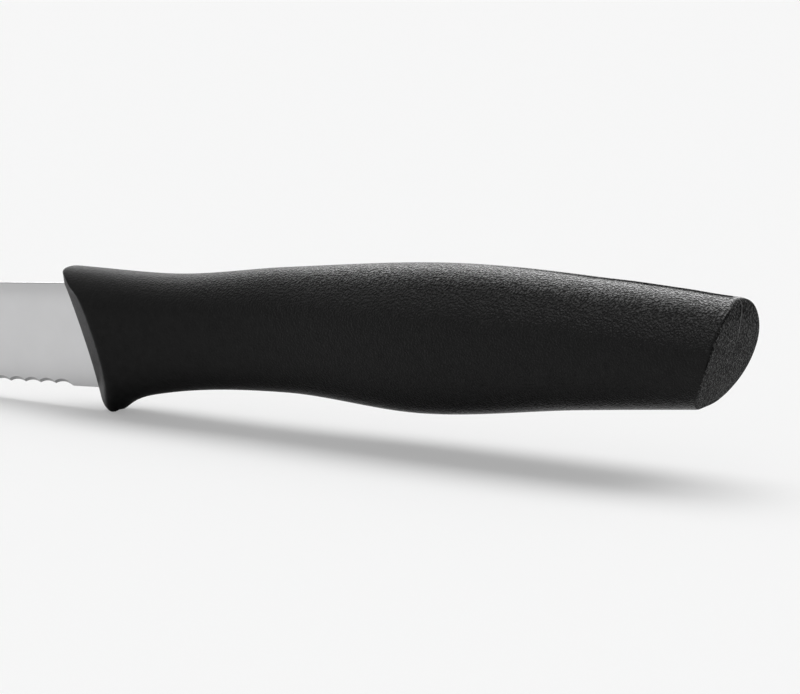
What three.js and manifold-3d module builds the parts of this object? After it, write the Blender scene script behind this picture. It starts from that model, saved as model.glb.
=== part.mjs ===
// Serrated paring knife: a stamped steel blade with a hidden tang, and a one-piece plastic handle
// moulded around that tang.
//
// Millimetres. The knife is drawn level first: the straight edge lies on z = 0 and runs towards -X,
// the heel meets the front of the handle at x = 0, and y = 0 is the middle plane of the blade.
// It is then tipped to stand on the tip of its guard and on its edge, centred over the origin.

import * as THREE from "three";
import { mergeVertices } from "three/addons/utils/BufferGeometryUtils.js";
import Module from "manifold-3d";

const wasm = await Module();
wasm.setup();

const { degToRad, lerp } = THREE.MathUtils;

// Blade
const BLADE_LENGTH = 75.6; // heel to tip
const BLADE_HEIGHT = 14.77; // edge to spine at the heel
const SPINE_THICKNESS = 1.3;
const EDGE_THICKNESS = 0.25;
const GRIND_HEIGHT = 10; // the flat grind reaches this far up from the edge
const SPINE_FALL = degToRad(1.4); // of the spine towards the tip
const SPINE_DROP_LENGTH = 34; // over which the spine curves down to the tip
const BELLY_LENGTH = 17; // over which the edge curves up to the tip
const TIP_RISE = 4; // of the tip over the straight edge
const TIP_BLUNT = 0.4; // height of the very end of the blade

// Serrations, hollow ground from the -Y side
const TOOTH_PITCH = 2.62;
const TOOTH_DEPTH = 0.36; // of each hollow between two points
const TOOTH_STEP = 0.19; // the points stand this far back from the plain heel
const TOOTH_TILT = degToRad(35); // of the grinding wheel
const HEEL_LENGTH = 4.75; // plain edge at the handle
const TIP_PLAIN = 5; // plain edge at the tip

// Tang
const TANG_LENGTH = 66; // from the heel
const TANG_HEIGHT = 7;
const TANG_END_HEIGHT = 5.5;
const TANG_RISE = 8.3; // of its middle over the straight edge
const SHOULDER_LENGTH = 5; // full-height steel inside the handle
const GRIND_RUN_IN = 2; // of the flat grind inside the handle
const TANG_CORNER = 1.5;
const ANCHOR_RADIUS = 2; // holes that the plastic fills
const ANCHOR_FIRST = 19;
const ANCHOR_PITCH = 18;
const MOULD_GAP = 0.1; // between the steel and the plastic

// Handle: side outline
const HANDLE_LENGTH = 106.88; // top front corner to butt
const FRONT_RAKE = degToRad(17.23); // of the front, top forward
const FRONT_HOLLOW = 0.47; // of the front between its corners
const SPINE_COVER = 2.45; // plastic over the blade's spine at the front
const NECK_AT = 14.6;
const NECK_DIP = 0.69; // of the top line behind the front
const SHOULDER_AT = 32.7;
const SHOULDER_RISE = 0.86;
const CREST_AT = 60.9;
const CREST_RISE = 2.21;
const BUTT_FALL = 0.94;
const GUARD_DROP = 5.12; // sharp corner of the guard below the edge
const GUARD_FLANK_AT = 6.23;
const GUARD_FLANK_DROP = 1.93;
const FINGER_AT = 13;
const FINGER_DROP = 0.22;
const GROOVE_AT = 32.6;
const GROOVE_RISE = 0.75;
const BELLY_AT = 54.4;
const BELLY_DROP = 1.02;
const TAIL_AT = 78.3;
const TAIL_RISE = 0.67;
const BUTT_LIFT = 1.94; // of the butt's lower corner over the edge
const GUARD_ROUND = 15.7;
const FRONT_ROUND = 4.95;

// Handle: widths and section
const GUARD_WIDTH = 11.5;
const NECK_WIDTH = 11.8;
const BELLY_WIDTH = 14.7;
const BUTT_WIDTH = 14.4;
const GUARD_WIDEST = 0.7; // share of the height under the widest point, at the front
const BUTT_WIDEST = 0.5; // and at the butt
const CROWN_FULLNESS = 2; // exponents of the rounded section, 2 being an ellipse
const KEEL_FULLNESS = 2.5;

// Handle: front and butt faces
const NOSE_SWEEP = degToRad(48); // each half of the front falls back from the blade
const NOSE_RIDGE = 0.4; // rounding where the halves meet
const BUTT_ARC = 24.3; // radius of the butt in side view
const BUTT_ARC_RISE = 1.2; // centre of that arc over the butt's top corner
const BUTT_CROWN = 0.1; // bulge of the butt across the handle
const BUTT_ROUND = 2.6; // at its top corner
const BUTT_TOE_ROUND = 0.5; // at its lower corner

// Facets
const BLADE_STEPS = 44;
const HANDLE_STEPS = 56;
const SECTION_SIDES = 48;
const CURVE_STEPS = 6;
const SWEEP_STEPS = 12;
const HOLE_SIDES = 24;
const HOLLOW_SIDES = 60;

const BEYOND = 30; // how far cutting shapes run past the knife

// A closed geometry as a solid that can be joined and cut.
function solid(geometry) {
  const bare = geometry.clone();
  bare.deleteAttribute("normal");
  bare.deleteAttribute("uv");
  const merged = mergeVertices(bare, 1e-4);
  return new wasm.Manifold(
    new wasm.Mesh({
      numProp: 3,
      vertProperties: new Float32Array(merged.attributes.position.array),
      triVerts: new Uint32Array(merged.index.array),
    }),
  );
}

// A solid back as a geometry with flat facets.
function geometryOf(body) {
  const { vertProperties, triVerts } = body.getMesh();
  const shared = new THREE.BufferGeometry();
  shared.setAttribute("position", new THREE.BufferAttribute(vertProperties, 3));
  shared.setIndex(new THREE.BufferAttribute(triVerts, 1));
  const facets = shared.toNonIndexed();
  facets.computeVertexNormals();
  return facets;
}

// Moves every vertex of a geometry to where place(vertex) puts it.
function reshape(geometry, place) {
  const positions = geometry.attributes.position;
  const vertex = new THREE.Vector3();
  for (let i = 0; i < positions.count; i += 1) {
    place(vertex.fromBufferAttribute(positions, i));
    positions.setXYZ(i, vertex.x, vertex.y, vertex.z);
  }
  return geometry;
}

// A smooth line through [place, value] stations.
function smoothLine(stations) {
  const places = stations.map(([place]) => place);
  const values = stations.map(([, value]) => value);
  const line = new THREE.CubicInterpolant(places, values, 1);
  return (x) => line.evaluate(x)[0];
}

// An XZ outline through [x, z, round] corners, each cut back by its round, as far as the sides
// next to it allow, and curved over.
function roundedOutline(corners) {
  const shape = new THREE.Shape();
  corners.forEach(([x, z, round], i) => {
    const cutTowards = ([nextX, nextZ, nextRound]) => {
      const side = new THREE.Vector2(nextX - x, nextZ - z);
      const share = round > 0 ? round / (round + nextRound) : 0;
      side.setLength(Math.min(round, share * side.length()));
      return [x + side.x, z + side.y];
    };
    const start = cutTowards(corners.at(i - 1));
    const end = cutTowards(corners[(i + 1) % corners.length]);
    if (i === 0) shape.moveTo(...start);
    else shape.lineTo(...start);
    if (round > 0) shape.quadraticCurveTo(x, z, ...end);
  });
  shape.closePath();
  return shape;
}

// An XZ outline spread evenly to both sides of y = 0.
function spreadOutline(shape, width, steps = 1) {
  const geometry = new THREE.ExtrudeGeometry(shape, {
    depth: width,
    steps,
    bevelEnabled: false,
    curveSegments: CURVE_STEPS,
  });
  return geometry.translate(0, 0, -width / 2).rotateX(Math.PI / 2);
}

// Height of the edge over the straight edge.
function edgeAt(x) {
  const run = Math.max(0, (BELLY_LENGTH - BLADE_LENGTH - x) / BELLY_LENGTH);
  return TIP_RISE * run ** 2;
}

// Height of the blade's spine over the straight edge.
function spineAt(x) {
  const level = (place) => BLADE_HEIGHT + place * Math.tan(SPINE_FALL);
  const run = Math.max(0, (SPINE_DROP_LENGTH - BLADE_LENGTH - x) / SPINE_DROP_LENGTH);
  const drop = level(-BLADE_LENGTH) - TIP_RISE - TIP_BLUNT;
  return level(x) - drop * run ** 2;
}

// Blade thickness at a height over the edge.
function thicknessAt(height) {
  const ground = Math.min(1, height / GRIND_HEIGHT);
  return lerp(EDGE_THICKNESS, SPINE_THICKNESS, ground);
}

// The ground blade, without serrations, grown outwards by a gap.
function groundBlade(gap) {
  const tip = -BLADE_LENGTH - gap;
  const root = lerp(GRIND_RUN_IN, SHOULDER_LENGTH, 0.5);
  const blank = new THREE.BoxGeometry(1, 1, 1, BLADE_STEPS, 1, 2);
  return reshape(blank, (v) => {
    const x = lerp(tip, root, v.x + 0.5);
    const onBlade = Math.max(x, -BLADE_LENGTH);
    const full = spineAt(onBlade) - edgeAt(onBlade);
    const grind = Math.min(GRIND_HEIGHT, 0.8 * full);
    const level = Math.round(2 * v.z) + 1;
    const height = [0, grind, full][level];
    const grown = [-gap, 0, gap][level];
    const half = thicknessAt(height) / 2 + gap;
    v.set(x, Math.sign(v.y) * half, edgeAt(onBlade) + height + grown);
  });
}

// The steel inside the handle, shoulders and tang, grown outwards by a gap.
function tang(gap) {
  const start = GRIND_RUN_IN - gap;
  const shoulder = SHOULDER_LENGTH + gap;
  const end = TANG_LENGTH + gap;
  const rootHalf = TANG_HEIGHT / 2 + gap;
  const endHalf = TANG_END_HEIGHT / 2 + gap;
  const outline = roundedOutline([
    [start, -gap, 0],
    [shoulder, -gap, TANG_CORNER],
    [shoulder, TANG_RISE - rootHalf, TANG_CORNER],
    [end, TANG_RISE - endHalf, TANG_CORNER],
    [end, TANG_RISE + endHalf, TANG_CORNER],
    [shoulder, TANG_RISE + rootHalf, TANG_CORNER],
    [shoulder, spineAt(SHOULDER_LENGTH) + gap, TANG_CORNER],
    [start, spineAt(GRIND_RUN_IN) + gap, 0],
  ]);
  const holeReach = TANG_LENGTH - 2 * ANCHOR_RADIUS;
  const anchors = [];
  for (let x = ANCHOR_FIRST; x <= holeReach; x += ANCHOR_PITCH) {
    const peg = new THREE.CylinderGeometry(
      ANCHOR_RADIUS - gap,
      ANCHOR_RADIUS - gap,
      BEYOND,
      HOLE_SIDES,
    );
    anchors.push(solid(peg.translate(x, 0, TANG_RISE)));
  }
  const plate = solid(spreadOutline(outline, SPINE_THICKNESS + 2 * gap));
  return anchors.reduce((cut, anchor) => cut.subtract(anchor), plate);
}

// All the steel before serrating, grown outwards by a gap.
function steel(gap) {
  return solid(groundBlade(gap)).add(tang(gap));
}

// The hollows between the points of the edge, as one cutting solid.
function serrations() {
  const sagitta = TOOTH_DEPTH * Math.cos(TOOTH_TILT);
  const radius = ((TOOTH_PITCH / 2) ** 2 + sagitta ** 2) / (2 * sagitta);
  const below = radius / Math.cos(TOOTH_TILT) - TOOTH_DEPTH - TOOTH_STEP;
  const wheel = new THREE.CylinderGeometry(radius, radius, 8, HOLLOW_SIDES);
  wheel.rotateX(-TOOTH_TILT).translate(0, EDGE_THICKNESS / 2, -below);
  const hollows = [];
  let x = -HEEL_LENGTH - TOOTH_PITCH / 2;
  while (x > TIP_PLAIN - BLADE_LENGTH) {
    const slope = Math.atan2(edgeAt(x - 0.5) - edgeAt(x + 0.5), 1);
    hollows.push(solid(wheel.clone().rotateY(slope).translate(x, 0, edgeAt(x))));
    x -= TOOTH_PITCH * Math.cos(slope);
  }
  return hollows.reduce((all, hollow) => all.add(hollow));
}

const frontTop = BLADE_HEIGHT + SPINE_COVER;
const frontCorner = -frontTop * Math.tan(FRONT_RAKE);
const buttEnd = frontCorner + HANDLE_LENGTH;
const buttTop = frontTop - BUTT_FALL;
const guardCorner = GUARD_DROP * Math.tan(FRONT_RAKE);

const topLine = smoothLine([
  [frontCorner - BEYOND, frontTop],
  [frontCorner, frontTop],
  [NECK_AT, frontTop - NECK_DIP],
  [SHOULDER_AT, frontTop + SHOULDER_RISE],
  [CREST_AT, frontTop + CREST_RISE],
  [buttEnd, buttTop],
]);

const bottomLine = smoothLine([
  [2 * guardCorner - GUARD_FLANK_AT, GUARD_FLANK_DROP - 2 * GUARD_DROP],
  [guardCorner, -GUARD_DROP],
  [GUARD_FLANK_AT, -GUARD_FLANK_DROP],
  [FINGER_AT, -FINGER_DROP],
  [GROOVE_AT, GROOVE_RISE],
  [BELLY_AT, -BELLY_DROP],
  [TAIL_AT, TAIL_RISE],
  [buttEnd, BUTT_LIFT],
]);

const widthLine = smoothLine([
  [frontCorner, GUARD_WIDTH],
  [NECK_AT, NECK_WIDTH],
  [GROOVE_AT, NECK_WIDTH],
  [BELLY_AT, BELLY_WIDTH],
  [buttEnd, BUTT_WIDTH],
]);

// The handle before its ends are cut: rounded sections along the top, bottom and width lines.
function handleBlank() {
  const front = frontCorner;
  const back = buttEnd + BUTT_ROUND;
  const blank = new THREE.CylinderGeometry(1, 1, 1, SECTION_SIDES, HANDLE_STEPS);
  const bulge = (share, fullness) => Math.sign(share) * Math.abs(share) ** (2 / fullness);
  return reshape(blank, (v) => {
    const x = lerp(front, back, v.y + 0.5);
    const widest = lerp(GUARD_WIDEST, BUTT_WIDEST, v.y + 0.5);
    const middle = lerp(bottomLine(x), topLine(x), widest);
    const upper = v.x > 0;
    const fullness = upper ? CROWN_FULLNESS : KEEL_FULLNESS;
    const reach = upper ? topLine(x) - middle : middle - bottomLine(x);
    const y = (widthLine(x) / 2) * bulge(v.z, fullness);
    v.set(x, y, middle + reach * bulge(v.x, fullness));
  });
}

// What the front leaves of the handle: raked, rounded at both corners, and swept back from the blade.
function frontKeep() {
  const frontMiddle = (frontTop - GUARD_DROP) / 2;
  const outline = roundedOutline([
    [frontCorner, frontTop, FRONT_ROUND],
    [2 * FRONT_HOLLOW - frontMiddle * Math.tan(FRONT_RAKE), frontMiddle, BEYOND],
    [guardCorner, -GUARD_DROP, GUARD_ROUND],
    [GUARD_FLANK_AT, bottomLine(GUARD_FLANK_AT), 0],
    [GUARD_FLANK_AT, -BEYOND, 0],
    [buttEnd + BEYOND, -BEYOND, 0],
    [buttEnd + BEYOND, frontTop + BEYOND, 0],
    [NECK_AT, frontTop + BEYOND, 0],
    [NECK_AT, frontTop, 0],
  ]);
  const keep = spreadOutline(outline, 2 * GUARD_WIDTH, SWEEP_STEPS);
  return reshape(keep, (v) => {
    v.x += Math.hypot(v.y * Math.tan(NOSE_SWEEP), NOSE_RIDGE) - NOSE_RIDGE;
  });
}

// What the butt leaves of the handle: an arc in side view with rounded ends, bulging a little.
function buttKeep() {
  const centreZ = buttTop + BUTT_ARC_RISE;
  const centreX = buttEnd - BUTT_ARC;
  const onArc = (z) => centreX + Math.sqrt(BUTT_ARC ** 2 - (z - centreZ) ** 2);
  const upperZ = buttTop - BUTT_ROUND;
  const lowerZ = BUTT_LIFT + BUTT_TOE_ROUND;
  const topX = onArc(buttTop) - BUTT_ROUND;
  const lowX = onArc(BUTT_LIFT) - BUTT_TOE_ROUND;
  const outline = new THREE.Shape();
  outline.moveTo(frontCorner - BEYOND, -BEYOND);
  outline.lineTo(lowX, -BEYOND);
  outline.lineTo(lowX, bottomLine(lowX));
  outline.quadraticCurveTo(onArc(BUTT_LIFT), BUTT_LIFT, onArc(lowerZ), lowerZ);
  outline.absarc(
    centreX,
    centreZ,
    BUTT_ARC,
    Math.asin((lowerZ - centreZ) / BUTT_ARC),
    Math.asin((upperZ - centreZ) / BUTT_ARC),
  );
  outline.quadraticCurveTo(onArc(buttTop), buttTop, topX, topLine(topX));
  outline.lineTo(topX, buttTop + BEYOND);
  outline.lineTo(frontCorner - BEYOND, buttTop + BEYOND);
  outline.closePath();
  const keep = spreadOutline(outline, 2 * BUTT_WIDTH, SWEEP_STEPS);
  return reshape(keep, (v) => {
    v.x -= BUTT_CROWN * (v.y / (BUTT_WIDTH / 2)) ** 2;
  });
}

function makeBlade() {
  return steel(0).subtract(serrations());
}

function makeHandle() {
  const body = solid(handleBlank()).intersect(solid(frontKeep()));
  return body.intersect(solid(buttKeep())).subtract(steel(MOULD_GAP));
}

const blade = new THREE.Mesh(
  geometryOf(makeBlade()),
  new THREE.MeshStandardMaterial({ color: 0xb9bcbd, roughness: 0.3, metalness: 1 }),
);
blade.name = "blade";

const handle = new THREE.Mesh(
  geometryOf(makeHandle()),
  new THREE.MeshStandardMaterial({ color: 0x1a1a1b, roughness: 0.5, metalness: 0 }),
);
handle.name = "handle";

// The slope of the line that touches the undersides of the blade and the guard from below.
function restSlope(meshes) {
  const points = meshes.flatMap(({ geometry: { attributes } }) => {
    const at = (i) => new THREE.Vector2(attributes.position.getX(i), attributes.position.getZ(i));
    return Array.from({ length: attributes.position.count }, (_, i) => at(i));
  });
  points.sort((a, b) => a.x - b.x || a.y - b.y);
  const under = [];
  for (const point of points) {
    while (under.length > 1) {
      const [first, second] = under.slice(-2);
      const turn = second.clone().sub(first).cross(point.clone().sub(first));
      if (turn > 0) break;
      under.pop();
    }
    under.push(point);
  }
  const guard = under.findIndex((point) => point.x > 0);
  return under[guard].clone().sub(under[guard - 1]).angle();
}

const level = new THREE.Group();
level.add(blade, handle);
level.rotation.y = restSlope([blade, handle]);

const knife = new THREE.Group();
knife.add(level);

const box = new THREE.Box3().setFromObject(knife, true);
const middle = box.getCenter(new THREE.Vector3());
level.position.set(-middle.x, -middle.y, -box.min.z);

export default knife;
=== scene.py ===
"""Looks of a serrated paring knife, in metres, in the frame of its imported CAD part.

Blade and handle are drawn level and in millimetres: the straight edge lies on z = 0, the heel is at x = 0 and
the tip points to -X. Each piece is then tipped onto the tip of the guard, where the CAD part stands.
"""

import logging
import math
from bisect import bisect_right
from dataclasses import dataclass
from enum import Enum
from functools import cached_property
from typing import Callable, Sequence

import bpy
import numpy as np
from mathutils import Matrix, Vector


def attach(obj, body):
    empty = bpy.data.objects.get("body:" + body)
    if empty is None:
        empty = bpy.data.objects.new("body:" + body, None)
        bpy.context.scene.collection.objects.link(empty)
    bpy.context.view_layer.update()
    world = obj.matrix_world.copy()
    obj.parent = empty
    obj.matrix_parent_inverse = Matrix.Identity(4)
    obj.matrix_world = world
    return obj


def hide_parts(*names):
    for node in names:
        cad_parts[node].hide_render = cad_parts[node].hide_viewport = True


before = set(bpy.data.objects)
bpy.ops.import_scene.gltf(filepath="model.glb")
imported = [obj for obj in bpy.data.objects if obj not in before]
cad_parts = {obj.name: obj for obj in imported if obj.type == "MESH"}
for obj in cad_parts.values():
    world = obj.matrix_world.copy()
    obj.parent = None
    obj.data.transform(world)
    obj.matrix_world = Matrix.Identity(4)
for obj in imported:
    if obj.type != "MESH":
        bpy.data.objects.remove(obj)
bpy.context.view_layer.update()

log = logging.getLogger("paring_knife")

MM = 0.001
REST_PITCH = math.radians(-3.256945)
REST_SHIFT = Vector((-12.286056, 0.0, 3.213844)) * MM

MERGE_GAP = 0.0005
SLIVER = 0.0002
ROUND_STEPS = 48
HALVINGS = 44

Point = tuple[float, float]
Triple = tuple[float, float, float]
Values = tuple[float, ...]
Corner = Sequence[float]
Solid = bpy.types.Object
Socket = bpy.types.NodeSocket
Sockets = bpy.types.bpy_prop_collection

UNIT: Point = (0.0, 1.0)
NOISE_RANGE: Point = (0.3, 0.7)
NOISE_DETAIL = 3.0


class Piece(Enum):
    """The two pieces of the knife, by the CAD node that each stands for."""

    BLADE = "blade"
    HANDLE = "handle"


class Slot(Enum):
    """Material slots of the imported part."""

    STEEL = "steel"
    PLASTIC = "plastic"


def lerp(start: float, end: float, share: float) -> float:
    """Value at a share of the way from start to end."""
    return start + (end - start) * share


def smooth_step(low: float, high: float, value: float) -> float:
    """Soft step from 0 at low to 1 at high."""
    share = min(1.0, max(0.0, (value - low) / (high - low)))
    return share * share * (3.0 - 2.0 * share)


@dataclass(frozen=True)
class SmoothLine:
    """Smooth line through stations (place along the knife, value), level beyond its ends."""

    stations: tuple[Point, ...]

    @cached_property
    def places(self) -> list[float]:
        """Places of the stations along the knife."""
        return [place for place, _ in self.stations]

    def at(self, place: float) -> float:
        """Value of the line at a place.

        Args:
            place: Distance along the knife, in the unit of the stations.

        Returns:
            The value there.
        """
        places = self.places
        if place <= places[0]:
            return self.stations[0][1]
        if place >= places[-1]:
            return self.stations[-1][1]
        after = bisect_right(places, place)
        before = after - 1
        first = before - 1 if before > 0 else after
        last = after + 1 if after + 1 < len(places) else before
        half = (places[after] - places[before]) / 2.0
        lead = half / (places[before] - places[first])
        trail = half / (places[last] - places[after])
        p = (place - places[before]) / (places[after] - places[before])
        pp, ppp = p * p, p * p * p
        weights = (
            (first, -lead * ppp + 2.0 * lead * pp - lead * p),
            (before, (1.0 + lead) * ppp + (-1.5 - 2.0 * lead) * pp + (-0.5 + lead) * p + 1.0),
            (after, (-1.0 - trail) * ppp + (1.5 + trail) * pp + 0.5 * p),
            (last, trail * ppp - trail * pp),
        )
        return sum(self.stations[index][1] * weight for index, weight in weights)


def curve_points(start: Point, control: Point, end: Point, steps: int) -> list[Point]:
    """Points of a quadratic curve.

    Args:
        start: First point.
        control: Point that the curve is drawn towards.
        end: Last point.
        steps: Number of straight steps.

    Returns:
        The points from start to end.
    """
    points = []
    for step in range(steps + 1):
        t = step / steps
        pulls = (((1.0 - t) ** 2, start), (2.0 * t * (1.0 - t), control), (t * t, end))
        points.append(tuple(sum(pull * point[axis] for pull, point in pulls) for axis in (0, 1)))
    return points


def rounded_corner(before: Corner, corner: Corner, after: Corner) -> list[Point]:
    """Rounds a corner of an outline, leaving room for the rounds of the corners next to it.

    Args:
        before: Corner before, as x, z and how far its round reaches.
        corner: Corner to round, in the same form.
        after: Corner after, in the same form.

    Returns:
        The points of the round.
    """
    ends = []
    for other in (before, after):
        side = math.dist(corner[:2], other[:2])
        cut = min(corner[2], side * corner[2] / (corner[2] + other[2]))
        ends.append(tuple(lerp(corner[axis], other[axis], cut / side) for axis in (0, 1)))
    return curve_points(ends[0], tuple(corner[:2]), ends[1], ROUND_STEPS)


def bisect_root(function: Callable[[float], float], low: float, high: float) -> float:
    """Place where a rising function passes zero.

    Args:
        function: Function that is below zero at low and above it at high.
        low: Start of the range.
        high: End of the range.

    Returns:
        The place of the root.
    """
    for _ in range(HALVINGS):
        middle = (low + high) / 2.0
        if function(middle) < 0.0:
            low = middle
        else:
            high = middle
    return (low + high) / 2.0


def select(*pieces: Solid) -> None:
    """Makes these pieces the only selected ones, and the first of them active.

    Args:
        pieces: Pieces to select.
    """
    bpy.ops.object.select_all(action="DESELECT")
    for piece in pieces:
        piece.select_set(True)
    bpy.context.view_layer.objects.active = pieces[0]


def lay_skin(name: str, columns: int, rows: int, place: Callable[[int, int], Vector]) -> Solid:
    """Adds a grid and lays each of its vertices onto a surface.

    Args:
        name: Name of the new piece.
        columns: Number of steps along the surface.
        rows: Number of steps across it.
        place: Gives the point for a column and a row.

    Returns:
        The new piece, one open skin.
    """
    bpy.ops.mesh.primitive_grid_add(x_subdivisions=columns, y_subdivisions=rows, size=2.0)
    piece = bpy.context.active_object
    piece.name = name
    piece.data.name = name
    for vertex in piece.data.vertices:
        column = round((vertex.co.x + 1.0) / 2.0 * columns)
        row = round((vertex.co.y + 1.0) / 2.0 * rows)
        vertex.co = place(column, row)
    return piece


def mirror_half(piece: Solid) -> None:
    """Mirrors a half piece across the mid-plane and closes what is left open.

    Args:
        piece: Half piece whose border lies on y = 0.
    """
    select(piece)
    bpy.ops.object.modifier_add(type="MIRROR")
    mirror = piece.modifiers[-1]
    mirror.use_axis = (False, True, False)
    mirror.merge_threshold = MERGE_GAP
    bpy.ops.object.modifier_apply(modifier=mirror.name)
    bpy.ops.object.mode_set(mode="EDIT")
    bpy.ops.mesh.select_all(action="SELECT")
    bpy.ops.mesh.remove_doubles(threshold=MERGE_GAP)
    bpy.ops.mesh.dissolve_degenerate(threshold=SLIVER)
    bpy.ops.mesh.select_all(action="DESELECT")
    bpy.ops.mesh.select_mode(type="EDGE")
    bpy.ops.mesh.select_non_manifold()
    bpy.ops.mesh.fill_holes(sides=0)
    bpy.ops.mesh.select_mode(type="VERT")
    bpy.ops.mesh.select_all(action="SELECT")
    bpy.ops.mesh.normals_make_consistent(inside=False)
    bpy.ops.object.mode_set(mode="OBJECT")


def join_pieces(pieces: Sequence[Solid]) -> None:
    """Joins pieces into the first of them."""
    select(*pieces)
    bpy.ops.object.join()


def cut_out(piece: Solid, cutter: Solid, overlaps: bool = False) -> None:
    """Cuts one piece out of another and takes the cutter away.

    Args:
        piece: Piece that is cut.
        cutter: Piece that is removed from it, with all that it covers.
        overlaps: Whether parts of the cutter overlap each other.
    """
    select(piece)
    bpy.ops.object.modifier_add(type="BOOLEAN")
    boolean = piece.modifiers[-1]
    boolean.operation = "DIFFERENCE"
    boolean.solver = "EXACT"
    boolean.use_self = overlaps
    boolean.object = cutter
    bpy.ops.object.modifier_apply(modifier=boolean.name)
    select(cutter)
    bpy.ops.object.delete()


def stand_up(piece: Solid, crease: float) -> None:
    """Shades a finished piece and moves it from its drawing to the place of the CAD part.

    Args:
        piece: Piece drawn level and in millimetres.
        crease: Angle in degrees above which an edge stays sharp.
    """
    select(piece)
    piece.scale = (MM, MM, MM)
    piece.rotation_euler = (0.0, REST_PITCH, 0.0)
    piece.location = REST_SHIFT
    bpy.ops.object.transform_apply()
    bpy.ops.object.shade_smooth_by_angle(angle=math.radians(crease))


class Wiring:
    """Adds nodes to a node tree and joins them up."""

    def __init__(self, tree: bpy.types.NodeTree) -> None:
        """Starts from an empty tree."""
        self.tree = tree
        tree.nodes.clear()

    def add(self, kind: str, inputs: dict[str | int, object] | None = None,
            **settings: object) -> bpy.types.Node:
        """Adds one node.

        Args:
            kind: Type name of the node.
            inputs: Value or socket for each named or numbered input.
            settings: Properties of the node.

        Returns:
            The new node.
        """
        node = self.tree.nodes.new(kind)
        for name, value in settings.items():
            setattr(node, name, value)
        for name, value in (inputs or {}).items():
            if isinstance(value, Socket):
                self.tree.links.new(value, node.inputs[name])
            else:
                node.inputs[name].default_value = value
        return node

    def math(self, operation: str, first: float | Socket, second: float | Socket = 0.0) -> Socket:
        """Adds a sum of the named kind and gives its result."""
        return self.add("ShaderNodeMath", {0: first, 1: second}, operation=operation).outputs[0]

    def times(self, first: float | Socket, second: float | Socket) -> Socket:
        """Multiplies two values and gives the result."""
        return self.math("MULTIPLY", first, second)

    def mix(self, share: Socket, first: float | Socket, second: float | Socket) -> Socket:
        """Adds a blend from the first value to the second and gives its result."""
        return self.add("ShaderNodeMix", {0: share, 2: first, 3: second}, data_type="FLOAT").outputs[0]

    def span(self, value: Socket, start: Point, end: Sequence[float | Socket], soft: bool = True) -> Socket:
        """Maps a value from one span onto another, held at its ends.

        Args:
            value: Value to map.
            start: The two ends of the span it comes from.
            end: The two ends of the span it goes to.
            soft: Whether the ends ease in and out.

        Returns:
            The mapped value.
        """
        kind = "SMOOTHSTEP" if soft else "LINEAR"
        inputs = {"Value": value, "From Min": start[0], "From Max": start[1],
                  "To Min": end[0], "To Max": end[1]}
        return self.add("ShaderNodeMapRange", inputs, interpolation_type=kind).outputs["Result"]


def fine_variation() -> bpy.types.NodeTree:
    """Builds the group that varies a finish a little from place to place.

    Returns:
        The group: a place, a scale and the two ends of the range in, a value out.
    """
    name = "fine_variation"
    if name in bpy.data.node_groups:
        return bpy.data.node_groups[name]
    group = bpy.data.node_groups.new(name, "ShaderNodeTree")
    wiring = Wiring(group)
    group.interface.new_socket("Place", in_out="INPUT", socket_type="NodeSocketVector")
    for label in ("Scale", "Low", "High"):
        group.interface.new_socket(label, in_out="INPUT", socket_type="NodeSocketFloat")
    group.interface.new_socket("Value", in_out="OUTPUT", socket_type="NodeSocketFloat")
    given = wiring.add("NodeGroupInput").outputs
    inputs = {"Vector": given["Place"], "Scale": given["Scale"], "Detail": NOISE_DETAIL}
    noise = wiring.add("ShaderNodeTexNoise", inputs).outputs["Fac"]
    value = wiring.span(noise, NOISE_RANGE, (given["Low"], given["High"]), soft=False)
    wiring.add("NodeGroupOutput", {"Value": value})
    return group


def varied(wiring: Wiring, place: Socket, scale: float, low: float, high: float) -> Socket:
    """Adds the group that varies a finish from low to high, in so many patches per metre."""
    inputs = {"Place": place, "Scale": scale, "Low": low, "High": high}
    return wiring.add("ShaderNodeGroup", inputs, node_tree=fine_variation()).outputs["Value"]


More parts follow.
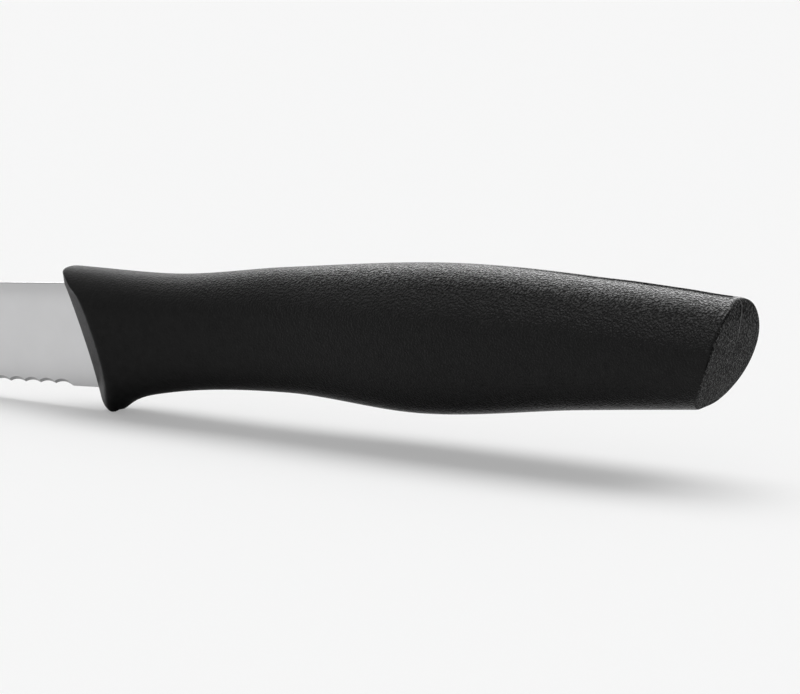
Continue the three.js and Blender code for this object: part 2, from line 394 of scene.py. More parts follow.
@dataclass(frozen=True)
class SatinSteel:
    """Stainless steel with a fine satin finish, ground across the blade. Painted shade darkens the spine's
    top and the scallops' bevels, and dims the steel for diffuse bounces.
    """

    name: str = "satin_steel"
    tone: Triple = (0.60, 0.60, 0.605)
    roughness: Point = (0.28, 0.31)
    streak_scale: Triple = (9000.0, 9000.0, 260.0)
    cloud_scale: float = 260.0
    cloud_tones: Point = (0.985, 1.015)
    scratch: float = 0.03
    scratch_depth: float = 0.00001
    # Painted shade: the base colour is darker on the spine's upward faces and on the scallops' downward
    # bevels, by which way they face.
    spine_faces: Point = (0.3, 0.8)
    painted_spine_shade: float = 0.4
    hollow_faces: Point = (-0.5, -0.2)
    painted_hollow_shade: float = 0.58
    # Painted shade: the steel's colour is dimmed for diffuse rays, so it bounces less light onto the floor.
    painted_bounce_shade: float = 0.2

    def material(self) -> bpy.types.Material:
        """Builds the finish.

        Returns:
            The material.
        """
        material = bpy.data.materials.new(self.name)
        material.use_nodes = True
        wiring = Wiring(material.node_tree)
        place = wiring.add("ShaderNodeTexCoord").outputs["Object"]
        stretch = {"Vector": place, "Scale": self.streak_scale}
        along = wiring.add("ShaderNodeMapping", stretch).outputs["Vector"]
        streaks = varied(wiring, along, 1.0, *UNIT)
        tone_and_painted_shade = varied(wiring, place, self.cloud_scale, *self.cloud_tones)
        facing = wiring.add("ShaderNodeNewGeometry").outputs["Normal"]
        upward = wiring.add("ShaderNodeSeparateXYZ", {"Vector": facing}).outputs["Z"]
        # Painted shade by facing: darker spine top and darker scallop bevels.
        spine = wiring.span(upward, self.spine_faces, (1.0, self.painted_spine_shade))
        hollow = wiring.span(upward, self.hollow_faces, (self.painted_hollow_shade, 1.0))
        tone_and_painted_shade = wiring.times(tone_and_painted_shade, wiring.times(spine, hollow))
        # Painted shade on bounced light: darker steel for diffuse rays.
        bounced = wiring.add("ShaderNodeLightPath").outputs["Is Diffuse Ray"]
        painted_bounce_dimming = wiring.span(bounced, UNIT, (1.0, self.painted_bounce_shade))
        tone_and_painted_shade = wiring.times(tone_and_painted_shade, painted_bounce_dimming)
        tint = wiring.add("ShaderNodeMix", {"Factor": 1.0, 6: (*self.tone, 1.0), 7: tone_and_painted_shade},
                          data_type="RGBA", blend_type="MULTIPLY").outputs[2]
        rough = wiring.span(streaks, UNIT, self.roughness, soft=False)
        bump = {"Height": streaks, "Strength": self.scratch, "Distance": self.scratch_depth}
        normal = wiring.add("ShaderNodeBump", bump).outputs["Normal"]
        inputs = {"Base Color": tint, "Metallic": 1.0, "Roughness": rough, "Normal": normal}
        surface = wiring.add("ShaderNodeBsdfPrincipled", inputs).outputs["BSDF"]
        wiring.add("ShaderNodeOutputMaterial", {"Surface": surface})
        return material


@dataclass(frozen=True)
class MouldedPlastic:
    """Black plastic with a moulded grain that fades out towards the guard, and a painted highlight along the
    parting line at the top of the butt.

    Spans called faces say how far the surface turns: upwards for crown and lift, else towards the butt.
    """

    name: str = "moulded_plastic"
    tone: Point = (0.001, 0.004)
    tone_scale: float = 900.0
    roughness: Point = (0.58, 0.64)
    rough_scale: float = 1300.0
    rear_roughness: float = -0.31
    nose_roughness: float = -0.2
    butt_roughness: float = 0.36
    nose_faces: Point = (-0.5, -0.25)
    side_faces: Point = (0.18, 0.3)
    butt_faces: Point = (0.35, 0.65)
    flat_faces: Point = (0.5, 0.68)
    crown_faces: Point = (0.4, 0.9)
    lift_faces: Point = (0.0, 0.9)
    index: float = 1.25
    grain_size: float = 0.00026
    grain_depth: Point = (0.00038, 0.0026)
    grain_lift: Point = (0.5, 3.0)
    grain_strength: Point = (0.14, 1.0)
    grain_from: Point = (-0.011, 0.045)
    grain_detail: float = 1.5
    cell_scale: float = 0.7
    cell_smoothness: float = 0.3
    cell_height: float = -0.4
    gloss: float = 0.5
    cavity: Point = (0.2, 1.35)
    cavity_heights: Point = (0.22, 0.52)
    polish: float = 1.75
    polish_from: Point = (0.04, 0.085)
    butt_dull: float = 0.55
    dull_from: Point = (0.0205, 0.024)
    # Painted highlight along the parting line at the top of the butt.
    parting_highlight_tone: float = 0.13
    parting_highlight_half: Point = (0.0001, 0.0002)
    parting_highlight_drop: Point = (0.0185, 0.0215)

    def material(self) -> bpy.types.Material:
        """Builds the finish.

        Returns:
            The material.
        """
        material = bpy.data.materials.new(self.name)
        material.use_nodes = True
        wiring = Wiring(material.node_tree)
        place = wiring.add("ShaderNodeTexCoord").outputs["Object"]
        spot = wiring.add("ShaderNodeSeparateXYZ", {"Vector": place}).outputs
        rear = wiring.span(spot["X"], self.grain_from, UNIT)
        fine = varied(wiring, place, self.rough_scale, *self.roughness)
        facing = wiring.add("ShaderNodeNewGeometry").outputs["Normal"]
        turned = wiring.add("ShaderNodeSeparateXYZ", {"Vector": facing}).outputs
        endward, upward = turned["X"], turned["Z"]
        tone_and_painted_highlight = varied(wiring, place, self.tone_scale, *self.tone)
        # Painted highlight: a paler line along the parting at the top of the butt.
        tone_and_painted_highlight = wiring.math("ADD", tone_and_painted_highlight, self.painted_parting_highlight(wiring, spot, endward))
        tint = wiring.add("ShaderNodeCombineColor", {0: tone_and_painted_highlight, 1: tone_and_painted_highlight, 2: tone_and_painted_highlight}).outputs["Color"]
        nose = wiring.span(endward, self.nose_faces, (self.nose_roughness, 0.0))
        butt = wiring.span(endward, self.butt_faces, (0.0, self.butt_roughness))
        rough = wiring.math("ADD", fine, wiring.times(rear, self.rear_roughness))
        rough = wiring.math("ADD", rough, wiring.math("ADD", nose, butt))
        depth = wiring.span(endward, self.butt_faces, self.grain_depth)
        depth = wiring.times(depth, wiring.span(upward, self.lift_faces, self.grain_lift))
        height = self.grain(wiring, place)
        side = wiring.span(endward, self.side_faces, (1.0, 0.0))
        flat = wiring.span(endward, self.flat_faces, UNIT)
        strength = wiring.span(rear, UNIT, self.grain_strength, soft=False)
        strength = wiring.times(strength, wiring.math("MAXIMUM", side, flat))
        bump = {"Height": height, "Strength": strength, "Distance": depth}
        normal = wiring.add("ShaderNodeBump", bump).outputs["Normal"]
        crown = wiring.times(rear, wiring.span(upward, self.crown_faces, UNIT))
        gloss = self.cavities(wiring, height, spot, crown, flat)
        inputs = {"Base Color": tint, "Roughness": rough, "IOR": self.index, "Normal": normal,
                  "Specular IOR Level": gloss}
        surface = wiring.add("ShaderNodeBsdfPrincipled", inputs).outputs["BSDF"]
        wiring.add("ShaderNodeOutputMaterial", {"Surface": surface})
        return material

    def grain(self, wiring: Wiring, place: Socket) -> Socket:
        """Adds the moulded grain.

        Args:
            wiring: Tree of the material.
            place: Place on the piece, in metres.

        Returns:
            The height of the grain, about 0.1 to 0.6.
        """
        scale = 1.0 / self.grain_size
        inputs = {"Vector": place, "Scale": scale * self.cell_scale, "Smoothness": self.cell_smoothness}
        cells = wiring.add("ShaderNodeTexVoronoi", inputs, feature="SMOOTH_F1").outputs["Distance"]
        inputs = {"Vector": place, "Scale": scale, "Detail": self.grain_detail}
        fine = wiring.add("ShaderNodeTexNoise", inputs).outputs["Fac"]
        return wiring.math("ADD", wiring.times(cells, self.cell_height), fine)

    def cavities(self, wiring: Wiring, height: Socket, spot: Sockets, crown: Socket, flat: Socket) -> Socket:
        """Adds the share of light that the pits of the grain keep back.

        Args:
            wiring: Tree of the material.
            height: Height of the grain.
            spot: Place on the piece in metres, as X, Y and Z.
            crown: Mask that is 1 on the crown behind the guard.
            flat: Mask that is 1 on the butt.

        Returns:
            The specular level: shinier along the crown towards the butt, duller at the top of the butt.
        """
        level = wiring.span(height, self.cavity_heights, self.cavity)
        shine = wiring.span(spot["X"], self.polish_from, (1.0, self.polish))
        fade = wiring.span(spot["Z"], self.dull_from, (1.0, self.butt_dull))
        polished = wiring.times(level, shine)
        dulled = wiring.times(level, fade)
        return wiring.mix(flat, wiring.mix(crown, self.gloss, polished), dulled)

    def painted_parting_highlight(self, wiring: Wiring, spot: Sockets, endward: Socket) -> Socket:
        """Adds a painted highlight: a paler line along the mould's parting line at the top of the butt.

        Args:
            wiring: Tree of the material.
            spot: Place on the piece in metres, as X, Y and Z.
            endward: How far the surface faces the butt's way, -1 to 1.

        Returns:
            The tone that the painted highlight adds.
        """
        across = wiring.math("ABSOLUTE", spot["Y"])
        line = wiring.span(across, self.parting_highlight_half, (self.parting_highlight_tone, 0.0))
        upper = wiring.span(spot["Z"], self.parting_highlight_drop, UNIT)
        butt = wiring.span(endward, self.butt_faces, UNIT)
        return wiring.times(line, wiring.times(upper, butt))


@dataclass
class GroundBlade:
    """Serrated blade with its plain heel and its hidden tang, one blank of steel."""

    length: float = 75.6
    height: float = 14.77
    thickness: float = 1.3
    edge: float = 0.25
    grind: float = 11.0
    spine_fall: float = math.tan(math.radians(1.4))
    drop_length: float = 34.0
    belly_length: float = 17.0
    tip_rise: float = 4.0
    tip_blunt: float = 0.4
    spine_round: float = 0.1
    spine_flat: float = 0.25
    spine_relief: Point = (3.2, 0.36)
    pitch: float = 2.62
    depth: float = 0.36
    step: float = 0.19
    tilt: float = math.radians(50.0)
    heel: float = 4.4
    heel_drop: float = 0.12
    heel_run: Point = (-60.0, -25.0)
    tip_plain: float = 5.0
    tip_thin: Point = (0.35, 0.65)
    full_height: float = 9.0
    root_run: Point = (1.0, 4.0)
    tang_length: float = 66.0
    tang_heights: Point = (7.0, 5.5)
    tang_rise: float = 8.3
    tang_round: float = 1.5
    tang_tip: Point = (0.55, 0.45)
    shoulder: float = 5.0
    shoulder_run: Point = (0.6, 1.5)
    holes: Values = (19.0, 37.0, 55.0)
    hole_radius: float = 2.0
    pin_length: float = 8.0
    wheel_width: float = 18.0
    wheel_trim: Point = (-0.9, 1.8)
    slope_reach: float = 0.5
    crease: float = 24.0
    tip_run: float = 3.0
    tip_steps: int = 16
    blade_steps: int = 90
    tang_run: Point = (6.0, 1.5)
    tang_steps: int = 10
    flat_rows: int = 2
    pin_sides: int = 48
    wheel_sides: int = 192

    def edge_at(self, x: float) -> float:
        """Height of the edge: straight, a little deeper towards the heel, rising to the tip."""
        rise = self.tip_rise * max(0.0, (self.belly_length - self.length - x) / self.belly_length) ** 2
        return rise - self.heel_drop * smooth_step(*self.heel_run, x)

    def spine_at(self, x: float) -> float:
        """Height of the spine at a place along the blade.

        Args:
            x: Place along the blade.

        Returns:
            The height of the spine over the straight edge.
        """
        run = max(0.0, (self.drop_length - self.length - x) / self.drop_length)
        drop = self.height - self.length * self.spine_fall - self.tip_rise - self.tip_blunt
        return self.height + x * self.spine_fall - drop * run * run

    @cached_property
    def columns(self) -> list[float]:
        """Places of the sections from the tip to the end of the tang."""
        places = [-self.length + self.tip_run * step / self.tip_steps for step in range(self.tip_steps)]
        first = -self.length + self.tip_run
        places += [lerp(first, 0.0, step / self.blade_steps) for step in range(self.blade_steps + 1)]
        places += [1.0, 2.0, 2.6, 3.3, 4.0]
        places += [self.shoulder + reach for reach in (-0.6, -0.15, 0.0, 0.15, 0.45, 0.9, 1.5, 3.0)]
        first = self.shoulder + self.tang_run[0]
        last = self.tang_length - self.tang_run[1]
        places += [lerp(first, last, step / self.tang_steps) for step in range(self.tang_steps + 1)]
        return places + [self.tang_length - reach for reach in (0.7, 0.2, 0.0)]

    @cached_property
    def rows(self) -> list[Point]:
        """Section of the full blade from the spine to the edge, as half thickness and height."""
        half = self.thickness / 2.0
        reach, relief = self.spine_relief
        top = half - relief
        rows = [(0.0, self.height), (self.spine_flat, self.height)]
        for degrees in (0.0, 22.5, 45.0, 67.5):
            angle = math.radians(degrees)
            round_off = self.spine_round * (1.0 - math.sin(angle))
            rows.append((top - round_off, self.height - self.spine_round * (1.0 - math.cos(angle))))
        for below in (0.1, 0.3, 0.6, 0.9, 1.25, 1.6, 2.0, 2.4, 2.8, 3.2):
            rows.append((half - relief * max(0.0, 1.0 - below / reach) ** 2, self.height - below))
        for high in (11.0, 10.0, 9.0, 8.0, 7.0, 6.0, 5.0, 4.0, 3.2, 2.5, 1.9, 1.4, 0.9, 0.45, 0.0):
            bite = (1.0 - high / self.grind) ** 2
            rows.append((lerp(half, self.edge / 2.0, bite), high))
        return rows + [(0.0, 0.0)]

    def bounds_at(self, x: float) -> Point:
        """Lower and upper line of the blank at a place.

        Args:
            x: Place along the blank.

        Returns:
            The two heights.
        """
        edge, spine = self.edge_at(x), self.spine_at(x)
        start = self.shoulder - self.shoulder_run[0]
        if x <= start:
            return edge, spine
        share = min(1.0, max(0.0, (x - self.shoulder) / (self.tang_length - self.shoulder)))
        tall = lerp(*self.tang_heights, share)
        turn = smooth_step(start, self.shoulder + self.shoulder_run[1], x)
        end = max(0.0, (x - self.tang_length + self.tang_round) / self.tang_round)
        least, more = self.tang_tip
        half = tall * (least + more * math.sqrt(max(0.0, 1.0 - end * end))) / 2.0
        return lerp(edge, self.tang_rise - half, turn), lerp(spine, self.tang_rise + half, turn)

    def point(self, column: int, row: int, gap: float) -> Vector:
        """Point on the left side of the blank.

        Args:
            column: Number of the section.
            row: Number of the point in the section.
            gap: How far the surface stands off the steel.

        Returns:
            The point.
        """
        x = self.columns[column]
        wide, high = self.rows[row]
        low, top = self.bounds_at(x)
        share = high / self.height
        if row > self.flat_rows and wide > 0.0:
            wide = lerp(wide, self.thickness / 2.0, smooth_step(*self.root_run, x))
        least, more = self.tip_thin
        thin = min(1.0, least + more * (top - low) / self.full_height) if x < 0.0 else 1.0
        out = gap if wide > 0.0 else 0.0
        along = x + (gap if column == len(self.columns) - 1 else 0.0)
        return Vector((along, -(wide * thin + out), lerp(low - gap, top + gap, share)))

    def blank(self, name: str, gap: float) -> Solid:
        """Builds the blank with the holes of its tang.

        Args:
            name: Name of the piece.
            gap: How far it is grown, for the room that it leaves in the handle.

        Returns:
            The closed piece.
        """
        place = lambda column, row: self.point(column, row, gap)
        piece = lay_skin(name, len(self.columns) - 1, len(self.rows) - 1, place)
        mirror_half(piece)
        cut_out(piece, self.drill(gap))
        return piece

    def drill(self, gap: float) -> Solid:
        """Builds the pins that make the holes of the tang, one copied for each hole.

        Args:
            gap: How far the room around the tang is grown.

        Returns:
            The joined pins.
        """
        bpy.ops.mesh.primitive_cylinder_add(vertices=self.pin_sides, radius=self.hole_radius - gap,
                                            depth=self.pin_length, rotation=(math.pi / 2.0, 0.0, 0.0),
                                            location=(self.holes[0], 0.0, self.tang_rise))
        pins = [bpy.context.active_object]
        for place in self.holes[1:]:
            select(pins[0])
            bpy.ops.object.duplicate()
            bpy.context.active_object.location.x = place
            pins.append(bpy.context.active_object)
        join_pieces(pins)
        return pins[0]

    def wheels(self) -> Solid:
        """Builds the grinding wheels of the scallops, one copied along the edge.

        Returns:
            The joined wheels.
        """
        sag = self.depth * math.cos(self.tilt)
        radius = ((self.pitch / 2.0) ** 2 + sag * sag) / (2.0 * sag)
        below = radius / math.cos(self.tilt) - self.depth - self.step
        bpy.ops.mesh.primitive_cylinder_add(vertices=self.wheel_sides, radius=radius, depth=self.wheel_width,
                                            rotation=(math.pi / 2.0 - self.tilt, 0.0, 0.0),
                                            location=(0.0, self.edge / 2.0, -below))
        first = bpy.context.active_object
        bpy.ops.object.transform_apply()
        bpy.ops.object.mode_set(mode="EDIT")
        for level, under in zip(self.wheel_trim, (True, False)):
            bpy.ops.mesh.select_all(action="SELECT")
            bpy.ops.mesh.bisect(plane_co=(0.0, 0.0, level), plane_no=(0.0, 0.0, 1.0), use_fill=True,
                                clear_inner=under, clear_outer=not under)
        bpy.ops.object.mode_set(mode="OBJECT")
        wheels = []
        x = -self.heel - self.pitch / 2.0
        while x > self.tip_plain - self.length:
            select(first)
            bpy.ops.object.duplicate()
            rise = self.edge_at(x - self.slope_reach) - self.edge_at(x + self.slope_reach)
            slope = math.atan2(rise, 2.0 * self.slope_reach)
            wheel = bpy.context.active_object
            wheel.rotation_euler = (0.0, slope, 0.0)
            wheel.location = (x, 0.0, self.edge_at(x))
            wheels.append(wheel)
            x -= self.pitch * math.cos(slope)
        select(first)
        bpy.ops.object.delete()
        select(*wheels)
        bpy.ops.object.transform_apply()
        join_pieces(wheels)
        return wheels[0]

    def build(self, finish: SatinSteel) -> Solid:
        """Builds the blade, grinds its scallops and dresses it.

        Args:
            finish: Finish of the steel.

        Returns:
            The finished piece.
        """
        piece = self.blank("ground_blade", 0.0)
        cut_out(piece, self.wheels(), overlaps=True)
        stand_up(piece, self.crease)
        piece.data.materials.clear()
        piece.data.materials.append(finish.material())
        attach(piece, "root")
        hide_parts(Piece.BLADE.value)
        return piece


@dataclass
class MouldedHandle:
    """Handle moulded around the tang: nose, guard, finger groove, belly and slanted butt."""

    blade: GroundBlade
    length: float = 106.88
    rake: float = math.tan(math.radians(17.23))
    hollow: float = 0.47
    cover: float = 2.45
    neck: Point = (14.6, -0.69)
    shoulder: Point = (32.7, 0.86)
    crest: Point = (60.9, 2.21)
    butt_fall: float = 0.94
    guard_drop: float = 5.12
    underside: tuple[Point, ...] = (
        (6.23, -1.93), (13.0, -0.22), (32.6, 0.75), (54.4, -1.02), (78.3, 0.67),
    )
    butt_lift: float = 1.94
    guard_round: float = 15.7
    flank_fall: float = 1.5
    front_round: float = 3.0
    hollow_round: float = 30.0
    run_out: float = 30.0
    widths: tuple[float, float, float, float] = (11.5, 11.8, 14.7, 15.0)
    widest: Point = (0.7, 0.5)
    fullness: Point = (2.0, 2.5)
    nose_fullness: float = 2.25
    nose_run: Point = (4.0, 24.0)
    butt_fullness: float = 1.85
    butt_from: float = 80.0
    sweep: Point = (48.7, 38.0)
    ridge: float = 0.9
    ridge_back: Point = (0.17, 0.68)
    ridge_rise: Point = (-0.4, 2.0)
    butt_arc: float = 24.3
    butt_arc_rise: float = 1.2
    butt_round: float = 1.3
    butt_bulge: float = 0.1
    toe_round: float = 0.5
    edge_roll: float = 0.5
    butt_roll: Point = (0.35, 0.7)
    butt_roll_rise: Point = (6.0, 14.0)
    guard_roll: float = 1.6
    guard_roll_rise: Point = (-2.0, 5.0)
    most_roll: Point = (0.4, 0.3)
    brow: Point = (13.4, 17.9)
    guard_blend: float = 0.15
    parting: Point = (0.12, 0.12)
    parting_from: Point = (55.0, 90.0)
    parting_angle: float = 0.5
    parting_butt: float = 0.75
    parting_rise: Point = (9.0, 14.0)
    parting_angles: Values = (0.0, 0.008, 0.016, 0.026, 0.040)
    parting_shares: Values = (0.03, 0.02, 0.01, 0.0)
    rear_swell: float = 0.14
    swell_rise: Point = (80.0, 87.0)
    swell_fall: Point = (93.0, 99.0)
    mould_gap: float = 0.03
    crease: float = 34.0
    nose_ends: float = 14.0
    butt_starts: float = 70.0
    toe_reach: float = 30.0
    search_margin: float = 1.0
    nose_steps: int = 10
    side_steps: int = 120
    side_lean: float = 0.45
    butt_steps: int = 13
    toe_steps: int = 12
    arc_steps: int = 80
    top_steps: int = 24
    roll_steps: int = 6
    row_steps: int = 72

    @property
    def front_top(self) -> float:
        """Height of the top corner of the nose."""
        return self.blade.height + self.cover

    @property
    def front_corner(self) -> float:
        """Place of the top corner of the nose before it is rounded."""
        return -self.front_top * self.rake

    @property
    def butt_end(self) -> float:
        """Place of the top of the butt before it is rounded."""
        return self.front_corner + self.length

    @property
    def guard_corner(self) -> float:
        """Place of the guard's tip before it is rounded."""
        return self.guard_drop * self.rake

    @cached_property
    def top_line(self) -> SmoothLine:
        """Line of the crown from nose to butt."""
        top = self.front_top
        bumps = [(place, top + rise) for place, rise in (self.neck, self.shoulder, self.crest)]
        ends = [(self.front_corner - self.run_out, top), (self.front_corner, top)]
        return SmoothLine((*ends, *bumps, (self.butt_end, top - self.butt_fall)))

    @cached_property
    def bottom_line(self) -> SmoothLine:
        """Line of the underside from guard to butt."""
        corner, flank = self.guard_corner, self.underside[0]
        before = (2.0 * corner - flank[0], -flank[1] - 2.0 * self.guard_drop)
        guard, butt = (corner, -self.guard_drop), (self.butt_end, self.butt_lift)
        return SmoothLine((before, guard, *self.underside, butt))

    @cached_property
    def width_line(self) -> SmoothLine:
        """Width of the handle from nose to butt."""
        guard, neck, belly, butt = self.widths
        return SmoothLine(((self.front_corner, guard), (self.neck[0], neck), (self.underside[2][0], neck),
                           (self.underside[3][0], belly), (self.butt_end, butt)))

    @cached_property
    def front_points(self) -> np.ndarray:
        """Outline of the nose on the mid-plane, from the crown around the guard to its flank."""
        middle = (self.front_top - self.guard_drop) / 2.0
        flank = self.underside[0]
        corners = (
            (self.neck[0], self.front_top, 0.0),
            (self.front_corner, self.front_top, self.front_round),
            (2.0 * self.hollow - middle * self.rake, middle, self.hollow_round),
            (self.guard_corner, -self.guard_drop, self.guard_round),
            (flank[0], self.bottom_line.at(flank[0]), 0.0),
        )
        points: list[Point] = []
        for index in (1, 2, 3):
            points += rounded_corner(*corners[index - 1:index + 2])
        return np.array(points + [corners[4][:2]])

    def nose_at(self, z: float) -> float:
        """Place of the nose's ridge at a height.

        Args:
            z: Height in the level drawing.

        Returns:
            The place, set back a little by the round of the ridge, and more so above the blade.
        """
        points = self.front_points[:int(np.argmin(self.front_points[:, 1])) + 1][::-1]
        low, high = self.ridge_back
        back = low + high * smooth_step(*(self.blade.height + over for over in self.ridge_rise), z)
        return float(np.interp(z, points[:, 1], points[:, 0])) + back

    def held_at(self, x: float) -> float:
        """Lower limit that the round of the guard's tip sets, falling away behind the guard's flank."""
        points = self.front_points[int(np.argmin(self.front_points[:, 1])):]
        return float(np.interp(x, *points.T)) - self.flank_fall * max(0.0, x - points[-1, 0])

    @cached_property
    def butt_points(self) -> np.ndarray:
        """Outline of the butt on the mid-plane, from its toe up to the crown."""
        top = self.front_top - self.butt_fall
        centre = (self.butt_end - self.butt_arc, top + self.butt_arc_rise)
        on_arc = lambda z: centre[0] + math.sqrt(self.butt_arc ** 2 - (z - centre[1]) ** 2)
        upper = top - self.butt_round
        top_x = on_arc(top) - self.butt_round
        past_arc = lambda x: x - on_arc(self.bottom_line.at(x))
        toe = bisect_root(past_arc, self.butt_end - self.toe_reach, self.butt_end)
        toe_z = self.bottom_line.at(toe)
        low_x = toe - self.toe_round
        lower = toe_z + self.toe_round
        start, end = (low_x, self.bottom_line.at(low_x)), (top_x, self.top_line.at(top_x))
        points = curve_points(start, (toe, toe_z), (on_arc(lower), lower), self.toe_steps)
        points += [(on_arc(z), z) for z in np.linspace(lower, upper, self.arc_steps)[1:-1]]
        points += curve_points((on_arc(upper), upper), (on_arc(top), top), end, self.top_steps)
        return np.array(points)

    def butt_at(self, z: float) -> float:
        """Place of the butt at a height."""
        return float(np.interp(z, self.butt_points[:, 1], self.butt_points[:, 0]))

    def section(self, x: float, angle: float) -> Point:
        """Point of the section at a place, as the distance from the mid-plane and the height.

        Args:
            x: Place along the handle.
            angle: Way round the section, 0 at the crown and pi at the underside.

        Returns:
            Distance from the mid-plane and height.
        """
        top, bottom = self.top_line.at(x), self.bottom_line.at(x)
        top += self.rear_swell * smooth_step(*self.swell_rise, x) * (1.0 - smooth_step(*self.swell_fall, x))
        share = (x - self.front_corner) / (self.butt_end + self.butt_round - self.front_corner)
        middle = lerp(bottom, top, lerp(*self.widest, min(1.0, max(0.0, share))))
        upper = angle <= math.pi / 2.0
        crown = lerp(self.nose_fullness, self.fullness[0], smooth_step(*self.nose_run, x))
        crown = lerp(crown, self.butt_fullness, smooth_step(self.butt_from, self.butt_end, x))
        power = 2.0 / (crown if upper else self.fullness[1])
        out = self.width_line.at(x) / 2.0 * abs(math.sin(angle)) ** power
        rise = abs(math.cos(angle)) ** power
        if upper:
            return out, lerp(middle, top, rise)
        low = lerp(middle, bottom, rise)
        held = self.held_at(x - self.swept(out, low))
        return out, (low + held + math.hypot(low - held, self.guard_blend)) / 2.0

    @cached_property
    def angles(self) -> list[float]:
        """Ways round the section of the rows, closer together at the parting line."""
        line = [*self.parting_angles]
        steps = range(1, self.row_steps + 1)
        return line + [lerp(line[-1], math.pi, step / self.row_steps) for step in steps]

    def swept(self, out: float, z: float) -> float:
        """How far the nose lies behind its ridge, out from the mid-plane. It is blunter above the blade."""
        sweep = math.tan(math.radians(lerp(*self.sweep, smooth_step(*self.brow, z))))
        return math.hypot(out * sweep, self.ridge) - self.ridge

    def bulged(self, out: float) -> float:
        """How far the butt falls back from its middle at a distance from the mid-plane."""
        return self.butt_bulge * (2.0 * out / self.widths[3]) ** 2

    def parting_at(self, x: float, out: float) -> float:
        """Height of the fine ridge where the halves of the mould meet, out from the mid-plane."""
        high, wide = self.parting
        return high * smooth_step(*self.parting_from, x) * max(0.0, 1.0 - out / wide)

    def row_points(self, angle: float) -> list[Vector]:
        """Points of one row, from the ridge of the nose along the side to the middle of the butt.

        Args:
            angle: Way round the section.

        Returns:
            The points of the row on the left half.
        """
        def front(x: float) -> float:
            """How far a place lies behind the nose."""
            out, z = self.section(x, angle)
            return x - self.nose_at(z) - self.swept(out, z)

        def rear(x: float) -> float:
            """How far a place lies behind the butt."""
            out, z = self.section(x, angle)
            return x - self.butt_at(z) + self.bulged(out)

        start = bisect_root(front, self.front_corner - self.search_margin, self.nose_ends)
        end = bisect_root(rear, self.butt_starts, self.butt_end + self.search_margin)
        side = self.side_points(angle, start, end)
        nose_out, nose_z = self.section(start, angle)
        butt_out, butt_z = self.section(end, angle)
        nose = []
        for step in range(self.nose_steps + 1):
            out = nose_out * step / self.nose_steps
            nose.append(Vector((self.nose_at(nose_z) + self.swept(out, nose_z), -out, nose_z)))
        shares = [1.0 - step / self.butt_steps for step in range(self.butt_steps)]
        butt = []
        for share in (*shares, *self.parting_shares):
            out = butt_out * share
            lift = self.parting_butt * self.parting_at(end, out) * smooth_step(*self.parting_rise, butt_z)
            butt.append(Vector((self.butt_at(butt_z) - self.bulged(out) + lift, -out, butt_z)))
        nose_roll = lerp(self.guard_roll, self.edge_roll, smooth_step(*self.guard_roll_rise, nose_z))
        row = self.rolled(nose, side, min(nose_roll, self.most_roll[0] * nose_out))
        butt_roll = lerp(*self.butt_roll, smooth_step(*self.butt_roll_rise, butt_z))
        return self.rolled(row, butt, min(butt_roll, self.most_roll[1] * butt_out))

    def side_points(self, angle: float, start: float, end: float) -> list[Vector]:
        """Points of one row on the side of the handle.

        Args:
            angle: Way round the section.
            start: Place where the nose ends.
            end: Place where the butt begins.

        Returns:
            The points from nose to butt.
        """
        points = []
        for step in range(self.side_steps + 1):
            share = step / self.side_steps
            x = lerp(start, end, lerp(share, share * share, self.side_lean))
            out, z = self.section(x, angle)
            lift = self.parting_at(x, out) if angle < self.parting_angle else 0.0
            points.append(Vector((x, -out, z + lift)))
        return points

    @staticmethod
    def trimmed(run: list[Vector], reach: float) -> list[Vector]:
        """Shortens a run of points at its end, keeping their number.

        Args:
            run: Points in order.
            reach: Length to take off at the end.

        Returns:
            As many points, spread over the shortened run.
        """
        steps = [(after - before).length for before, after in zip(run, run[1:])]
        lengths = np.concatenate(([0.0], np.cumsum(steps)))
        total = max(lengths[-1], 1e-9)
        places = lengths * (max(0.0, total - reach) / total)
        axes = [np.interp(places, lengths, [point[axis] for point in run]) for axis in range(3)]
        return [Vector(point) for point in zip(*axes)]

    def rolled(self, first: list[Vector], second: list[Vector], reach: float) -> list[Vector]:
        """Joins two runs of points that meet at a corner, and rolls the corner over.

        Args:
            first: Run that ends at the corner.
            second: Run that begins at the corner.
            reach: How far from the corner the roll begins.

        Returns:
            One run of points.
        """
        corner = second[0]
        before = self.trimmed(first, reach)
        after = self.trimmed(second[::-1], reach)[::-1]
        roll = []
        for step in range(1, self.roll_steps):
            t = step / self.roll_steps
            ends = before[-1] * (1.0 - t) ** 2 + corner * (2.0 * t * (1.0 - t))
            roll.append(ends + after[0] * (t * t))
        return before + roll + after

    def build(self, finish: MouldedPlastic) -> Solid:
        """Builds the handle, opens its mouth for the tang and dresses it.

        Args:
            finish: Finish of the plastic.

        Returns:
            The finished piece.
        """
        rows = [self.row_points(angle) for angle in self.angles]
        place = lambda column, row: rows[row][column]
        piece = lay_skin("moulded_handle", len(rows[0]) - 1, len(rows) - 1, place)
        mirror_half(piece)
        cut_out(piece, self.blade.blank("tang_room", self.mould_gap))
        stand_up(piece, self.crease)
        piece.data.materials.clear()
        piece.data.materials.append(finish.material())
        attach(piece, "root")
        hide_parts(Piece.HANDLE.value)
        return piece


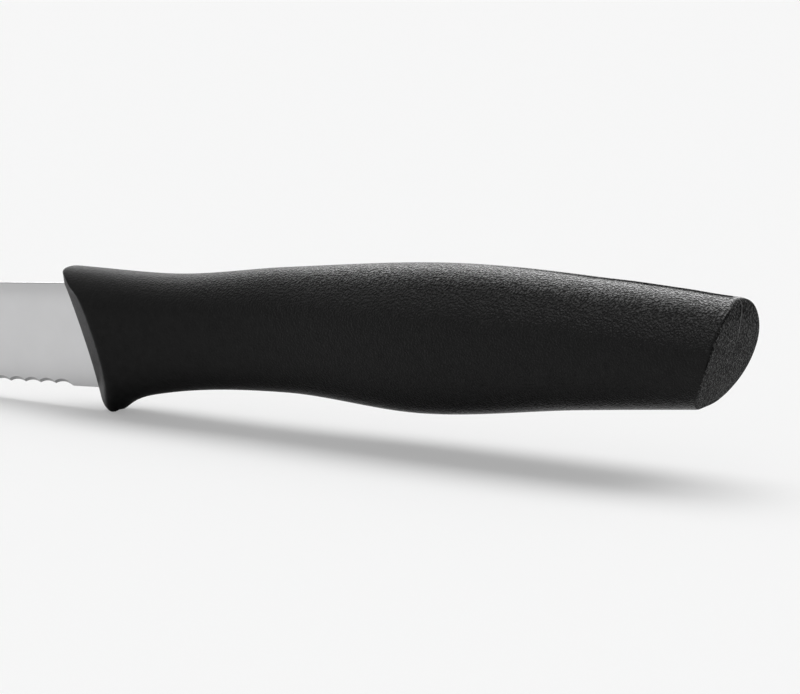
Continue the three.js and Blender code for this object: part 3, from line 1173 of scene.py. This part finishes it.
@dataclass
class Studio:
    """Pale floor, soft overhead light and the camera."""

    floor_size: float = 14.0
    paper: float = 0.93
    shadow_fill: float = 0.33
    lamp_strength: float = 0.357
    lamp_angle: float = math.radians(38.0)
    lamp_tilts: Values = (-24.0, -12.0, 0.0, 12.0, 24.0, 36.0, 48.0)
    lamp_lean: float = math.radians(12.0)
    lamp_height: float = 2.0
    sky_level: float = 0.3
    sky_mirrored: float = 0.17
    sky_glow: float = 4.7
    sky_front: float = 0.24
    glow_way: Point = (0.0, 1.0)
    glow_rise: Point = (0.0, 0.28)
    glow_fall: Point = (0.46, 0.66)
    glow_spread: Point = (0.1, 0.75)
    front_spread: Point = (-0.3, 0.3)
    target: Triple = (37.417, 0.0, 13.7884)
    distance: float = 540.54 * MM
    azimuth: float = math.radians(30.0)
    elevation: float = math.radians(11.25)
    lens: float = 180.0
    sensor: float = 36.0
    nearest: float = 0.01

    def paper_material(self) -> bpy.types.Material:
        """Builds the pale paper of the floor.

        Returns:
            The material.
        """
        material = bpy.data.materials.new("pale_paper")
        material.use_nodes = True
        wiring = Wiring(material.node_tree)
        grey = (self.paper, self.paper, self.paper, 1.0)
        lit = wiring.add("ShaderNodeBsdfDiffuse", {"Color": grey}).outputs["BSDF"]
        glow = wiring.add("ShaderNodeEmission", {"Color": grey, "Strength": 1.0}).outputs["Emission"]
        direct = wiring.add("ShaderNodeLightPath").outputs["Is Camera Ray"]
        share = wiring.times(direct, self.shadow_fill)
        mixed = wiring.add("ShaderNodeMixShader", {0: share, 1: lit, 2: glow}).outputs["Shader"]
        wiring.add("ShaderNodeOutputMaterial", {"Surface": mixed})
        return material

    def lay_floor(self) -> None:
        """Lays the floor under the knife."""
        bpy.ops.mesh.primitive_plane_add(size=self.floor_size)
        floor = bpy.context.active_object
        floor.name = "pale_floor"
        floor.data.materials.append(self.paper_material())

    def hang_sky(self) -> None:
        """Sets the soft light all round, with a broad glow behind and above the knife."""
        world = bpy.data.worlds.new("soft_sky")
        bpy.context.scene.world = world
        world.use_nodes = True
        wiring = Wiring(world.node_tree)
        way = wiring.add("ShaderNodeTexCoord").outputs["Generated"]
        up = wiring.add("ShaderNodeSeparateXYZ", {"Vector": way}).outputs["Z"]
        flat = {0: way, 1: (*self.glow_way, 0.0)}
        towards = wiring.add("ShaderNodeVectorMath", flat, operation="DOT_PRODUCT").outputs["Value"]
        rise = wiring.span(up, self.glow_rise, UNIT)
        fall = wiring.span(up, self.glow_fall, (1.0, 0.0))
        spread = wiring.span(towards, self.glow_spread, (0.0, self.sky_glow))
        glow = wiring.times(wiring.times(rise, fall), spread)
        path = wiring.add("ShaderNodeLightPath").outputs
        ahead = wiring.span(towards, self.front_spread, (self.sky_front, 0.0))
        shown = wiring.math("ADD", wiring.math("ADD", glow, ahead), self.sky_mirrored)
        mirrored = wiring.times(shown, path["Is Glossy Ray"])
        level = wiring.math("ADD", mirrored, self.sky_level)
        strength = wiring.mix(path["Is Camera Ray"], level, self.paper)
        sky = wiring.add("ShaderNodeBackground", {"Color": (1.0, 1.0, 1.0, 1.0), "Strength": strength})
        wiring.add("ShaderNodeOutputWorld", {"Surface": sky.outputs["Background"]})

    def hang_lamps(self) -> None:
        """Hangs a row of soft lamps over the knife, along its length."""
        for number, tilt in enumerate(self.lamp_tilts, start=1):
            angle = math.radians(tilt)
            bpy.ops.object.light_add(type="SUN", location=(math.sin(angle), 0.0, self.lamp_height),
                                     rotation=(-self.lamp_lean, angle, 0.0))
            lamp = bpy.context.active_object
            lamp.name = f"overhead_lamp_{number}"
            lamp.data.energy = self.lamp_strength
            lamp.data.angle = self.lamp_angle

    def set_camera(self) -> None:
        """Sets the camera at the photo's angle."""
        back = Vector((math.sin(self.azimuth) * math.cos(self.elevation),
                       -math.cos(self.azimuth) * math.cos(self.elevation), math.sin(self.elevation)))
        bpy.ops.object.camera_add(location=Vector(self.target) * MM + back * self.distance,
                                  rotation=back.to_track_quat("Z", "Y").to_euler())
        camera = bpy.context.active_object
        camera.name = "photo_camera"
        camera.data.sensor_width = self.sensor
        camera.data.lens = self.lens
        camera.data.clip_start = self.nearest
        bpy.context.scene.camera = camera

    def build(self) -> None:
        """Builds the whole studio."""
        self.lay_floor()
        self.hang_sky()
        self.hang_lamps()
        self.set_camera()
        bpy.context.scene.view_settings.view_transform = "Standard"


def main() -> None:
    """Builds blade, handle and studio, and reports each piece."""
    logging.basicConfig(level=logging.INFO, format="%(name)s: %(message)s")
    blade = GroundBlade()
    for piece in (blade.build(SatinSteel()), MouldedHandle(blade).build(MouldedPlastic())):
        mesh = piece.data
        log.info("%s: %d vertices, %d faces", piece.name, len(mesh.vertices), len(mesh.polygons))
    Studio().build()


if __name__ == "__main__":
    main()
